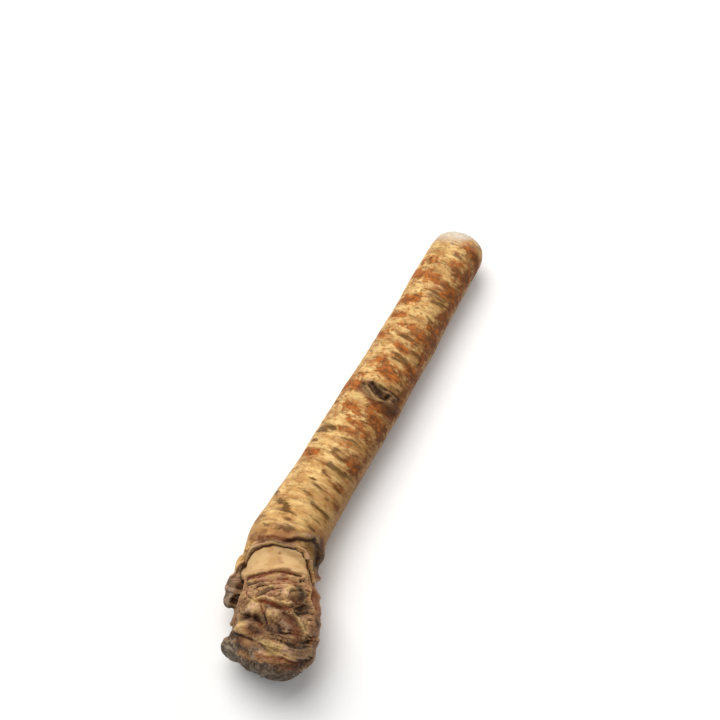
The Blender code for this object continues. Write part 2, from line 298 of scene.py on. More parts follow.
# %% Halve the squares of the crown and the scar
only(skin)
bpy.ops.object.mode_set(mode="EDIT")
bpy.ops.mesh.select_mode(type="FACE")
bpy.ops.mesh.select_all(action="DESELECT")
bpy.ops.object.mode_set(mode="OBJECT")
for face in skin.data.polygons:
    level = face.center.y
    face.select = level < FINE_CROWN_ENDS or FINE_SCAR[0] < level < FINE_SCAR[1]
bpy.ops.object.mode_set(mode="EDIT")
bpy.ops.mesh.subdivide()
bpy.ops.object.mode_set(mode="OBJECT")
finish_with(skin, "SMOOTH", factor=0.5, iterations=FACET_ROUNDS)
skin.data.shade_smooth()
print("faces of the skin:", len(skin.data.polygons))

# %% [markdown]
# ## A map of the root
# Rings and wrinkles run round the root and patches stretch across it, so a plain position is no
# help. We find the root's middle line from slices of the skin, and give each point its distance
# along that line and its turn about it. Rolled out as a straight cylinder, those two are the map
# that both the relief and the colours are drawn on.

# %% Read and write the skin's points
def points_of(piece):
    """The piece's points in millimetres, one row each."""
    rows = np.empty(len(piece.data.vertices) * 3)
    piece.data.vertices.foreach_get("co", rows)
    return rows.reshape(-1, 3) / MM


def normals_of(piece):
    """The outward direction at each of the piece's points."""
    rows = np.empty(len(piece.data.vertices) * 3)
    piece.data.vertex_normals.foreach_get("vector", rows)
    return rows.reshape(-1, 3)


def move_to(piece, points):
    """Puts the piece's points at these places, in millimetres."""
    piece.data.vertices.foreach_set("co", (points * MM).ravel())
    piece.data.update()


# %% The middle line
SLICE = 6.0
END_MARGIN = 9.0
MAP_RADIUS = 20.0
CHUNKS = 40


def middle_line(points):
    """Points a millimetre apart on the root's middle line, straightened past the last slices."""
    low, high = points[:, 1].min(), points[:, 1].max()
    levels = np.arange(low + END_MARGIN, high - END_MARGIN, SLICE)
    middles = [points[abs(points[:, 1] - y) < SLICE / 2].mean(axis=0) for y in levels]
    line = np.array(middles)
    for column in (0, 2):
        padded = np.pad(line[:, column], 2, mode="reflect", reflect_type="odd")
        line[:, column] = np.convolve(padded, np.array([1, 2, 3, 2, 1]) / 9, "valid")
    first = line[0] + (line[0] - line[2]) * (low - line[0, 1]) / (line[0, 1] - line[2, 1])
    last = line[-1] + (line[-1] - line[-3]) * (high - line[-1, 1]) / (line[-1, 1] - line[-3, 1])
    line = np.vstack([first, line, last])
    fine = np.arange(low, high, 1.0)
    return np.column_stack([np.interp(fine, line[:, 1], line[:, 0]), fine,
                            np.interp(fine, line[:, 1], line[:, 2])])


line = middle_line(points_of(skin))
steps = np.linalg.norm(np.diff(line, axis=0), axis=1)
line_along = np.concatenate([[0], np.cumsum(steps)])
line_heading = np.gradient(line, axis=0)
line_heading /= np.linalg.norm(line_heading, axis=1, keepdims=True)
print("length along the root, mm:", round(line_along[-1], 1))


# %% Distance along and turn about the middle line
def map_of(points):
    """For each point: its distance along, its turn in degrees, its distance out and the heading."""
    nearest = np.concatenate([
        ((part[:, None, :] - line[None, :, :]) ** 2).sum(axis=2).argmin(axis=1)
        for part in np.array_split(points, CHUNKS)])
    away = points - line[nearest]
    heading = line_heading[nearest]
    ahead = (away * heading).sum(axis=1)
    along = line_along[nearest] + ahead
    away = away - heading * ahead[:, None]
    side = np.cross(heading, (0, 0, 1))
    side /= np.linalg.norm(side, axis=1, keepdims=True)
    over = np.cross(side, heading)
    turn = np.degrees(np.arctan2((away * over).sum(axis=1), (away * side).sum(axis=1)))
    return along, turn % 360, np.linalg.norm(away, axis=1), heading


along, turn, out, heading = map_of(points_of(skin))
print("mean thickness of the shaft, mm:", round(2 * out[(along > 120) & (along < 160)].mean(), 1))


def rolled_out(along, turn):
    """The map as points on a straight cylinder, so that it has no seam."""
    angle = np.radians(turn)
    return np.column_stack([np.cos(angle) * MAP_RADIUS, np.sin(angle) * MAP_RADIUS, along])


# %% Keep a map or a mask on the skin
def keep(piece, name, values):
    """Stores a number or a vector for each point, which a material can read."""
    kind, key = ("FLOAT_VECTOR", "vector") if values.ndim == 2 else ("FLOAT", "value")
    attribute = piece.data.attributes.new(name, kind, "POINT")
    attribute.data.foreach_set(key, values.astype(np.float32).ravel())


# %% [markdown]
# ## Relief drawn in strokes
# A carver would cut the crown's folds one by one, and so do we. A stroke is a path of places on
# the map, each a turn in degrees and a distance along in millimetres, with a width and a height:
# a raised one is a rounded ridge and a sunk one is a sharp crease. The map is bent a little by
# noise first, so that no stroke runs as straight as it was drawn.

# %% Noise on the map
def grain_at(across_scale, along_scale, seed):
    """Noise from -1 to 1 for each point of the skin. The scales are waves to a millimetre."""
    rows = rolled_out(along, turn) * (across_scale, across_scale, along_scale) + seed * 11.7
    return np.array([noise.noise(row) for row in rows.tolist()])


def rise(low, high, values):
    """0 under low, 1 over high, and a smooth rise between."""
    share = np.clip((values - low) / (high - low), 0, 1)
    return share * share * (3 - 2 * share)


bent_along = along + 0.9 * grain_at(0.14, 0.14, 1) + 0.35 * grain_at(0.4, 0.4, 2)
bent_turn = turn + 2.6 * grain_at(0.14, 0.14, 3)
uneven = grain_at(0.22, 0.22, 4)


# %% One stroke
MEAN_RADIUS = 21.5
MM_A_DEGREE = math.radians(1) * MEAN_RADIUS


def rounded(places):
    """The path with its corners cut twice, which makes a curve of it."""
    for _ in range(2):
        cut = [places[0]]
        for (a, b), (c, d) in zip(places, places[1:]):
            cut += [(a * (1 - share) + c * share, b * (1 - share) + d * share)
                    for share in (0.25, 0.75)]
        places = cut + [places[-1]]
    return places


def distance_to(places):
    """How far each point of the skin is from a path, over the surface, in millimetres."""
    middle = sum(place[0] for place in places) / len(places)
    across = ((bent_turn - middle + 180) % 360 - 180) * MM_A_DEGREE
    path = [((place[0] - middle) * MM_A_DEGREE, place[1]) for place in rounded(places)]
    nearest = np.full(len(across), np.inf)
    for (x, y), (to_x, to_y) in zip(path, path[1:]):
        run, climb = to_x - x, to_y - y
        share = ((across - x) * run + (bent_along - y) * climb) / (run * run + climb * climb + 1e-9)
        share = np.clip(share, 0, 1)
        gap = np.hypot(across - x - share * run, bent_along - y - share * climb)
        nearest = np.minimum(nearest, gap)
    return nearest


def stroke(width, height, places):
    """The relief of one stroke, a ridge if height is over 0 and a crease if it is under."""
    sharpness = 2.0 if height > 0 else 1.4
    return height * (1 + 0.55 * uneven) * np.exp(-(distance_to(places) / width) ** sharpness)


def near(places, reach):
    """1 on a path and a steep fall to 0 past its reach, in millimetres."""
    return np.exp(-(distance_to(places) / reach) ** 4)


# %% [markdown]
# ## The torn collar of bark
# Above the pale neck the bark ends in a torn edge: it steps up, and it is rucked into two ridges
# with a dark line between them. On the left it runs down as a flap to an old stub, so the ridge
# is lower there and two creases follow the flap. The edge's path goes all the way round.

# %% The collar's edge
COLLAR = [(0, 56), (20, 52), (27, 54), (35, 60), (45, 63.5), (57, 68), (70, 69.4), (87, 69.6),
          (104, 69.4), (124, 68.3), (140, 66.3), (155, 63.2), (165, 59), (175, 53), (186, 50),
          (205, 55), (235, 60), (270, 62), (305, 60), (335, 57), (360, 56)]
UPPER_LINE = [(150, 69), (144, 70.6), (119, 71), (102, 71.8), (89, 72.2), (76, 74.2), (62, 76),
              (46, 78), (33, 76), (27, 72), (24, 64)]
INNER_LINE = [(150, 66.4), (140, 68.8), (124, 70.6), (108, 70.9), (88, 71), (72, 71)]
FLAP_LINE = [(148, 67), (157, 64.6), (164, 61.6), (170, 57.8), (175, 54.6)]
edge = np.interp(bent_turn % 360, [place[0] for place in COLLAR], [place[1] for place in COLLAR])
over_edge = bent_along - edge
bark_mask = rise(-0.5, 0.5, over_edge)

relief = 0.9 * rise(-0.5, 0.5, over_edge) * (1 - rise(8, 26, over_edge))
left_side = rise(128, 158, bent_turn) * (1 - rise(190, 215, bent_turn))
relief += (1 - 0.6 * left_side) * np.exp(-((over_edge - 1.5) / 1.1) ** 2)
relief -= 0.7 * np.exp(-(abs(over_edge + 0.6) / 0.7) ** 1.4)
relief += stroke(0.8, -0.9, UPPER_LINE)
relief += stroke(1.3, 0.7, [(turns, level + 1.9) for turns, level in UPPER_LINE])
relief += stroke(0.55, -0.6, INNER_LINE)
relief += stroke(0.6, -1.1, FLAP_LINE)
relief += stroke(0.6, -0.7, [(158, 69), (167, 65), (173, 60), (177, 55)])

# %% [markdown]
# ## The folds of the crown
# Old leaves left ridges and creases that cross the crown below the neck, then lumps and pits
# where buds died, and one deep fold that parts the rim of the cut end from the rest. They are cut
# in that order, from the neck to the end. The side that the picture doesn't show gets folds of
# the same kinds, laid out by a fixed run of random numbers.

# %% Creases and ridges
RIDGES = [
    (1.0, 0.6, [(150, 51.5), (130, 52.6), (108, 53.5), (88, 55), (68, 54.4), (50, 54)]),
    (1.1, 0.7, [(145, 47.4), (122, 47), (103, 49.3), (83, 51), (62, 50), (45, 52.5)]),
    (1.0, 0.6, [(128, 43.4), (110, 44.6), (90, 47.8), (72, 47.9), (56, 49)]),
    (0.6, 0.7, [(112, 36.8), (103, 38.2), (97, 36.6), (92, 37.2), (88, 35.1), (84, 35.4),
                (81, 34.2)]),
    (0.6, 0.6, [(79, 34.2), (76, 35.4), (72, 34.3), (68, 35.4), (62, 37.6), (56, 39)]),
    (1.6, 1.1, [(93, 34.5), (91, 30.5), (90, 27)]),
    (1.4, 1.3, [(156, 21.5), (140, 19.4), (122, 18.4), (104, 18.2), (90, 17.4), (76, 16.6)]),
    (1.3, 1.2, [(76, 16.6), (62, 16), (50, 16.2), (36, 18.6), (18, 23.5)]),
    (1.5, 0.9, [(150, 13.5), (126, 11.6), (108, 11.2), (92, 9.8)]),
    (1.2, 0.8, [(62, 31), (55, 28), (48, 25.4)]),
    (1.0, 0.9, [(40, 48), (37, 43), (38, 38), (34, 33)]),
]
CREASES = [
    (0.6, -0.9, [(156, 49.4), (132, 50.8), (110, 51.6), (90, 53), (71, 52.3), (50, 52)]),
    (0.7, -1.1, [(146, 45), (122, 44.6), (103, 46.4), (81, 49), (63, 47.4), (44, 51)]),
    (0.6, -1.0, [(124, 42), (109, 43.3), (91, 46), (74, 46.2), (58, 46.8)]),
    (0.7, -1.0, [(116, 37.2), (103, 40.8), (87, 42.6), (73, 44)]),
    (0.9, -1.7, [(116, 34.6), (108, 35.4), (97, 34.9), (84, 33.6), (75, 32.4), (65, 33.4),
                 (60, 36)]),
    (0.7, -1.2, [(79, 23.6), (76, 21.6), (69, 20.8), (62, 22)]),
    (0.6, -0.9, [(75, 29.6), (66, 28.7), (59, 28.3)]),
    (0.7, -1.1, [(109, 36), (103, 31.7), (99, 27.5), (95, 24)]),
    (0.9, -1.3, [(58, 34.4), (51, 31), (46, 27.5), (41, 25)]),
    (0.8, -1.0, [(90, 22), (77, 21), (63, 22), (49, 23.5)]),
    (1.2, -1.7, [(128, 28), (119, 26.6), (110, 25.6), (103, 23.4)]),
    (0.8, -1.2, [(150, 32), (138, 29.5), (127, 27.4)]),
    (0.7, -0.9, [(146, 42), (131, 38), (117, 35)]),
    (1.0, -1.6, [(165, 19.2), (140, 17), (118, 15.6), (104, 15.4), (90, 14.2), (76, 13.2),
                 (62, 12)]),
    (0.9, -1.0, [(70, 17.8), (58, 17.6), (48, 18.4), (37, 20.8), (20, 25)]),
    (0.9, -1.2, [(62, 12), (50, 12.2), (36, 14), (18, 16)]),
    (0.8, -1.2, [(33, 47), (29.5, 44), (29, 41), (32, 36)]),
    (0.6, -0.8, [(42, 34), (34, 33), (24, 34)]),
    (0.6, -0.8, [(40, 29.4), (32, 29), (22, 30)]),
    (0.7, -1.0, [(176, 44), (172, 36), (168, 28), (166, 23)]),
]
for row in RIDGES + CREASES:
    relief += stroke(*row)
print("ridges:", len(RIDGES), " creases:", len(CREASES))

# %% Lumps and pits
LUMPS = [(86, 30.5, 2.8, 1.1), (69, 24.2, 3.0, 1.6), (116, 30.5, 3.8, 1.4), (142, 23, 5.0, 1.2),
         (133, 21.5, 2.4, 0.9), (104, 21, 3.0, 0.8), (56, 21, 4.0, 0.9), (30, 37, 5.0, 0.8),
         (134, 41, 4.0, 0.7), (122, 13.9, 2.2, 0.9), (108, 10.4, 1.7, 0.7), (100, 8.8, 1.5, 0.6),
         (119, 9, 1.6, 0.7), (74, 40.8, 1.3, 0.7)]
PITS = [(57, 39.6, 2.3, 3.2), (51, 35.6, 2.6, 3.4), (62, 42.6, 1.8, 2.0), (112, 26, 1.8, 1.6),
        (122, 28, 1.6, 1.2), (30, 45, 2.2, 1.0), (77, 19.4, 1.6, 0.9), (150, 26, 2.0, 1.2)]


def spot(turns, level, size):
    """1 at a place on the map and falling off round it within about its size."""
    across = ((bent_turn - turns + 180) % 360 - 180) * MM_A_DEGREE
    return np.exp(-(np.hypot(across, bent_along - level) / size) ** 2.4)


for turns, level, size, height in LUMPS:
    relief += height * spot(turns, level, size)
for turns, level, size, depth in PITS:
    relief -= depth * spot(turns, level, size)
print("lumps:", len(LUMPS), " pits:", len(PITS))

# %% Folds of the hidden side
HIDDEN_FOLDS = 46
chance = random.Random(12)
for count in range(HIDDEN_FOLDS):
    middle, reach = chance.uniform(186, 384), chance.uniform(12, 40)
    level = chance.uniform(11, 53)
    places = [(middle + reach * share, level + chance.uniform(-1.8, 1.8))
              for share in (-1, -0.5, 0, 0.5, 1)]
    height = chance.choice((-1.3, -1.0, -0.8, 0.9, 1.2))
    relief += stroke(chance.uniform(0.6, 1.2), height, places)

# %% [markdown]
# ## Where each part of the root is
# The crown, the neck and the bark follow each other along the map. The cut end and the broken tip
# are the faces that look along the root. Past the rim of the cut end, what stands out from the
# root's mean radius is the old stub and its like. Strokes stretch there, so it gets less of the
# relief.

# %% Masks of the root's parts
CROWN_TO_NECK = (52.5, 55.5)
END_FACING, END_STOPS = (0.30, 0.70), (12, 17)
TIP_FACING, TIP_STARTS = (0.15, 0.6), (276, 282)
STANDS_OUT, PAST_THE_RIM = (2.2, 4.0), (10, 16)

normals = normals_of(skin)
facing = (normals * heading).sum(axis=1)
crown_mask = 1 - rise(*CROWN_TO_NECK, bent_along)
end_mask = rise(*END_FACING, -facing) * (1 - rise(*END_STOPS, bent_along))
tip_mask = rise(*TIP_FACING, facing) * rise(*TIP_STARTS, bent_along)
neck_mask = (1 - crown_mask) * (1 - bark_mask)

whole_mm = along.astype(int)
mean_out = np.bincount(whole_mm, out) / np.maximum(np.bincount(whole_mm), 1)
past_mean = out - mean_out[whole_mm]
standing_out = rise(*STANDS_OUT, past_mean) * rise(*PAST_THE_RIM, along)
print("share of crown, end and tip:",
      [round(float(mask.mean()), 3) for mask in (crown_mask, end_mask, tip_mask)])

# %% [markdown]
# ## The old stub
# On the left a dead side shoot stands out beside the torn bark, worn round, with a dark gap
# between it and the crown. The solid has it as a plain knob. We find it on the map, where only
# what stands out is the stub and what doesn't is the gap, and smooth the stub alone through a
# vertex group.

# %% Round off the stub
STUB = [(179, 52), (181, 46), (185, 38)]
STUB_REACH = 5.4
GAP_ENDS = (-0.6, 2.0)
STUB_ROUNDS = 24

stub_reach = near(STUB, STUB_REACH)
stub_gap = stub_reach * (1 - rise(*GAP_ENDS, past_mean))
stub_mask = stub_reach - stub_gap
stub = skin.vertex_groups.new(name="stub")
stub.add(np.flatnonzero(stub_mask > 0.3).tolist(), 1.0, "REPLACE")
finish_with(skin, "SMOOTH", factor=0.5, iterations=STUB_ROUNDS, vertex_group="stub")

# %% [markdown]
# ## Fine relief everywhere
# The crown's skin is finely wrinkled across and cracked, the bark of the shaft has faint rings,
# and the cut end and the broken tip are rough and fibrous, with a pressed ring round the tip's
# core. None of it is drawn, because it has no fixed places: noise on the map gives it, and thin
# cracks are the lines where the noise crosses zero.

# %% Wrinkles, rings and roughness
CORE_RADIUS = 9.5
CORE_RING = 0.9


def cracks_at(across_scale, along_scale, seed, thinness, low):
    """1 along thin winding lines and 0 between them."""
    lines = 1 - abs(grain_at(across_scale, along_scale, seed)) * thinness
    return rise(low, 1.0, lines)


banded = crown_mask * (0.35 + 0.65 * rise(38, 46, bent_along))
relief -= banded * 0.55 * cracks_at(0.10, 0.34, 5, 3.0, 0.45)
relief -= crown_mask * 0.30 * cracks_at(0.24, 0.36, 6, 3.0, 0.4)
relief += crown_mask * (0.30 * grain_at(0.30, 0.34, 14) + 0.22 * grain_at(0.8, 0.9, 7))
cracked = crown_mask * (1 - 0.8 * rise(40, 46, bent_along))
relief -= cracked * 0.45 * cracks_at(0.34, 0.40, 15, 4.0, 0.35)
relief -= cracked * 0.28 * cracks_at(0.62, 0.75, 16, 4.0, 0.3)
relief += bark_mask * (0.14 * grain_at(0.05, 0.24, 8) + 0.10 * grain_at(0.12, 0.42, 9))
rough = grain_at(0.35, 0.35, 10) + 0.7 * grain_at(0.9, 0.9, 11)
core_ring = tip_mask * np.exp(-((out - CORE_RADIUS) / CORE_RING) ** 2)
relief += end_mask * 0.8 * rough + tip_mask * 0.5 * rough - 0.4 * core_ring

# %% [markdown]
# ## The scar of a side root
# A side root broke off in the middle of the shaft and left an eye: a deep gash with a raised lip
# below it and a few shallow folds round it. It is drawn in strokes like the crown's folds,
# because it is the one mark on the shaft that everyone looks at.

# %% Cut the scar
GASH = [(94, 176.9), (88, 176), (79, 174.8), (72, 174), (67, 172.6), (62, 172.2), (57, 174.4)]
CLEFT = [(98, 175.6), (89, 174.3), (83, 173.5), (79, 173.4)]
SCAR = [
    (1.2, -1.9, GASH),
    (0.9, -1.2, [(79, 177.2), (72, 176.9), (65, 177.7)]),
    (0.8, -0.7, [(56, 178), (49, 178), (43, 177.5), (36, 177)]),
    (0.7, -0.9, CLEFT),
    (0.9, 1.0, [(99, 174.1), (90, 172.8), (82, 171), (74, 170.1), (66, 170.2), (58, 171.5),
                (50, 173)]),
    (0.9, 0.8, [(71, 175.3), (66, 175.4), (60, 176)]),
    (0.8, 0.6, [(104, 177.8), (90, 178.2), (76, 179)]),
    (0.9, -0.4, [(111, 171.5), (94, 169.8), (86, 168.9), (77, 168.5), (68, 168.3)]),
    (0.8, -0.6, [(60, 165.6), (45, 166.6), (30, 168.4), (16, 170.5)]),
    (0.7, 0.6, [(49, 175.8), (42, 176.2)]),
]
SCAR_MIDDLE = [(110, 174), (98, 173.4), (82, 173.3), (60, 173.8), (38, 174)]
SCAR_REACH = 4.2
for row in SCAR:
    relief += stroke(*row)
scar_mask = near(SCAR_MIDDLE, SCAR_REACH)

# %% [markdown]
# ## Move the skin
# Every point now goes out or in along its own normal by the relief that was added up. The stub
# gets a worn surface of its own, and a deep crease behind it. Nothing may go through the table.

# %% Move the skin by the relief
BEHIND_STUB = [(164, 60), (169, 54), (170.5, 48), (168, 43), (166, 38)]
relief *= (1 - 0.75 * standing_out) * (1 - 0.85 * stub_mask)
relief += stub_mask * (0.5 * grain_at(0.16, 0.2, 20) + 0.2 * grain_at(0.5, 0.5, 21))
relief += stroke(1.1, -1.8, BEHIND_STUB)
relief -= 1.2 * stub_gap
points = points_of(skin) + normals * relief[:, None]
points[:, 2] = np.maximum(points[:, 2], 0)
move_to(skin, points)
print("relief, mm:", round(relief.min(), 2), "to", round(relief.max(), 2))

# %% [markdown]
# ## Hollows and ridges
# Creases are painted dark, partly as the dirt and dead skin that stay in them and partly as
# painted shade, and ridges are painted pale, partly from wear and partly as painted highlight. How
# deep a point lies under a smoothed copy of the skin tells one from the other, so the colours will
# sit where the relief is.

# %% Depth under the smoothed skin
ends = np.empty(len(skin.data.edges) * 2, dtype=np.int64)
skin.data.edges.foreach_get("vertices", ends)
ends = ends.reshape(-1, 2)
neighbours = np.bincount(ends.ravel(), minlength=len(points))


def smoothed(rows, rounds):
    """The rows averaged with their neighbours' rows, several times over."""
    for _ in range(rounds):
        total = np.column_stack([
            np.bincount(ends[:, 0], rows[ends[:, 1], axis], len(rows))
            + np.bincount(ends[:, 1], rows[ends[:, 0], axis], len(rows)) for axis in range(3)])
        rows = 0.5 * rows + 0.5 * total / neighbours[:, None]
    return rows


normals = normals_of(skin)
HOLLOW_ROUNDS = (5, 20, 60)
hollows = [((smoothed(points, rounds) - points) * normals).sum(axis=1) for rounds in HOLLOW_ROUNDS]
for rounds, depths in zip(HOLLOW_ROUNDS, hollows):
    print("hollows after", rounds, "rounds, mm:", np.percentile(depths, (1, 50, 99)).round(2))

# %% [markdown]
# ## Stains and painted shade
# Old leaf bases leave dark dirt, the bark bleeds red-brown along its torn edge, and its curled
# end on the right is nearly black. None of it follows the relief alone, so it is laid down in
# strokes of its own, dark ones, red ones and pale ones. The gap behind the stub and the crease
# behind it are darkened with them as painted shade.

# %% Stains and painted shade
CURL = [(29, 79.5), (23, 75.5), (17, 71), (13, 65), (11, 59)]
DARK_STAINS_AND_SHADE = [
    (0.6, 0.8, INNER_LINE),
    (0.7, 0.9, FLAP_LINE),
    (1.3, 1.0, [(88, 72.2), (76, 74.2), (62, 76), (50, 77.4)]),
    (4.4, 1.0, [(52, 77), (42, 77), (34, 74), (27, 69), (26, 63)]),
    (3.2, 0.75, CURL),
    (0.7, 0.9, [(162, 59), (155, 62.6), (140, 66.2), (124, 68.2), (104, 69.2), (87, 69.3),
                (70, 69)]),
    # Painted shade: the deep crease behind the stub is darkened.
    (1.3, 1.0, BEHIND_STUB + [(168, 35)]),
    (0.8, 0.6, [(45, 63), (38, 60), (33, 55), (35, 50), (33, 46)]),
    (3.0, 0.75, [(52, 41.5), (49, 37), (47, 34)]),
    (2.0, 1.0, [(57, 45), (52, 42.4), (50, 39.7), (46, 36.6), (48, 34.7)]),
    (0.7, 0.8, [(79, 23.6), (76, 21.6), (69, 20.8), (62, 22)]),
    (1.1, 0.9, [(147, 16), (140, 13.5), (134, 11)]),
    (0.8, 0.8, [(150, 17.6), (139, 17), (124, 16.6), (110, 16.2)]),
    (1.8, 1.0, [(57, 31), (52, 32.5), (46, 34)]),
    (2.2, 0.9, [(130, 27.5), (118, 26), (108, 26.5), (100, 25.5)]),
    (1.6, 0.8, [(118, 22), (110, 20.6), (100, 20)]),
    (1.8, 0.8, [(58, 18), (50, 17.5), (44, 18.5), (38, 20)]),
    (2.6, 0.8, [(40, 11.5), (30, 13), (20, 15.5)]),
    (2.4, 0.8, [(178, 20), (168, 17.5), (158, 16.5)]),
    (1.3, 0.8, [(166, 38), (165, 31), (164, 25)]),
    (1.2, 0.7, [(150, 47.5), (138, 45.5), (124, 44.5), (112, 44.5)]),
    (1.4, 0.7, [(112, 39), (104, 41.5), (94, 42)]),
    (1.6, 0.8, [(96, 33), (88, 32), (80, 33)]),
    (2.0, 0.7, [(74, 30), (66, 28.5), (60, 27)]),
    (1.2, 0.8, [(33, 31), (29, 29), (24, 29)]),
    (1.4, 0.7, [(94, 22.5), (84, 21.5), (76, 21.6)]),
    (1.4, 1.0, GASH),
    (1.1, 0.8, [(79, 177.2), (72, 176.9), (65, 177.7), (56, 178), (49, 178), (36, 177)]),
    (0.8, 0.8, CLEFT),
    (1.2, 0.6, [(112, 174.8), (106, 174.4)]),
    (1.0, 0.8, [(45, 174.9), (42, 174.5)]),
    (3.0, 0.6, [(60, 168.4), (48, 168.8), (34, 170.4), (24, 171.6)]),
]
RED_STAINS = [
    (2.2, 1.0, [(128, 71.6), (112, 72.6), (98, 73), (84, 73.4), (72, 75)]),
    (1.4, 0.8, [(150, 72), (136, 73.4), (120, 74.6)]),
    (1.2, 0.7, [(118, 77.5), (106, 78.5), (94, 78)]),
    (0.8, 0.6, [(146, 78.6), (128, 80.2), (108, 80.8)]),
    (0.8, 0.5, [(122, 84), (102, 83.8), (82, 81.4)]),
    (0.7, 0.6, [(102, 76), (86, 75.8), (70, 78)]),
    (0.8, 0.5, [(150, 84), (132, 86.6), (114, 87)]),
    (4.0, 0.8, CURL),
    (0.8, 0.9, [(92.5, 65.8), (92.2, 64.8)]),
    (1.4, 0.3, [(91, 61.5), (86, 59.5)]),
    (1.6, 0.9, [(150, 50.5), (132, 50), (112, 50.5), (92, 51.5), (76, 51.5)]),
    (1.0, 0.7, [(106, 53), (90, 54.3), (72, 54)]),
    (1.4, 0.8, [(128, 46.5), (110, 46), (94, 47.3), (78, 48.4), (62, 47.5)]),
    (1.2, 1.0, [(110, 34.9), (97, 34.6), (84, 33.2), (75, 32.2), (65, 33)]),
    (0.9, 0.8, [(75, 29.6), (66, 28.7), (59, 28.3)]),
    (1.0, 0.9, [(92, 9.6), (80, 11.2), (68, 12), (50, 12.4), (32, 13), (20, 14.4)]),
    (4.0, 1.0, [(30, 47), (25, 43), (27, 39)]),
    (0.9, 0.8, [(118, 172.8), (104, 170.6), (94, 169.7), (86, 168.9), (77, 168.4), (68, 168)]),
    (2.6, 0.8, [(66, 26.5), (60, 24), (54, 22)]),
    (2.6, 0.8, [(124, 20.5), (114, 19.5), (106, 20)]),
    (2.6, 0.7, [(140, 14.5), (128, 13.5), (118, 13)]),
    (2.4, 0.6, [(30, 33), (25, 27), (24, 22)]),
    (2.4, 0.6, [(70, 8.5), (52, 8.5), (36, 10)]),
]
PALE_STAINS = [
    (1.5, 0.8, [(146, 68), (128, 70.6), (110, 71.2), (96, 71)]),
    (2.0, 0.9, [(126, 24), (138, 23.5), (146, 22)]),
    (1.2, 1.0, [(106, 16.8), (94, 16), (83, 15.6), (72, 15.6), (62, 16.2)]),
    (1.0, 0.6, [(92, 12), (73, 13.8), (57, 13.8), (41, 14.6), (25, 16.6)]),
    (0.6, 0.4, [(112, 36.9), (103, 38.1), (97, 36.9), (92, 37.1), (88, 35.3), (84, 35.4),
                (81, 34.4)]),
    (0.6, 0.4, [(79, 34.4), (76, 35.6), (72, 34.6), (68, 35.6), (62, 37.8)]),
    (0.7, 0.8, [(59, 30), (51, 27)]),
    (1.8, 0.6, [(134, 21.8), (128, 20.4), (122, 19.2)]),
    (1.8, 0.5, [(88, 30.8), (83, 30.4)]),
    (2.0, 0.5, [(124, 14), (119, 13.8)]),
    (1.1, 0.8, [(76, 40.8), (72, 40.8)]),
    (1.6, 0.7, [(52, 29.5), (47, 26.5), (43, 24.5)]),
    (2.4, 0.6, [(118, 35), (112, 33), (120, 31)]),
    (2.4, 0.6, [(74, 43.5), (66, 42.5), (58, 44)]),
    (1.4, 0.6, [(140, 47.8), (122, 47.6), (104, 49), (86, 50)]),
    (0.7, 0.15, [(97, 174.1), (90, 172.8), (82, 171), (74, 170.1), (66, 170.2), (58, 171.5),
                 (50, 173)]),
]


def stroke_cover(rows):
    """How strongly each point is covered by a list of strokes, from 0 to 1."""
    left = np.ones(len(points))
    for width, strength, places in rows:
        left *= 1 - strength * np.exp(-(distance_to(places) / width) ** 2)
    return 1 - left


stains_and_shade = np.column_stack([stroke_cover(rows) for rows in (DARK_STAINS_AND_SHADE, RED_STAINS, PALE_STAINS)])
# Painted shade: the gap between the stub and the crown is darkened.
stains_and_shade[:, 0] = np.maximum(stains_and_shade[:, 0], 0.65 * stub_gap)
print("stained share of the skin:", (stains_and_shade > 0.5).mean(axis=0).round(3))

# %% [markdown]
# The shaft's rust-brown patches and the dark marks across it are laid down in the same way, where
# the picture shows them, and so is the grey dirt on the heel and in a few pits of the crown.
# Noise frays their edges in the material and fills in the side that isn't seen.

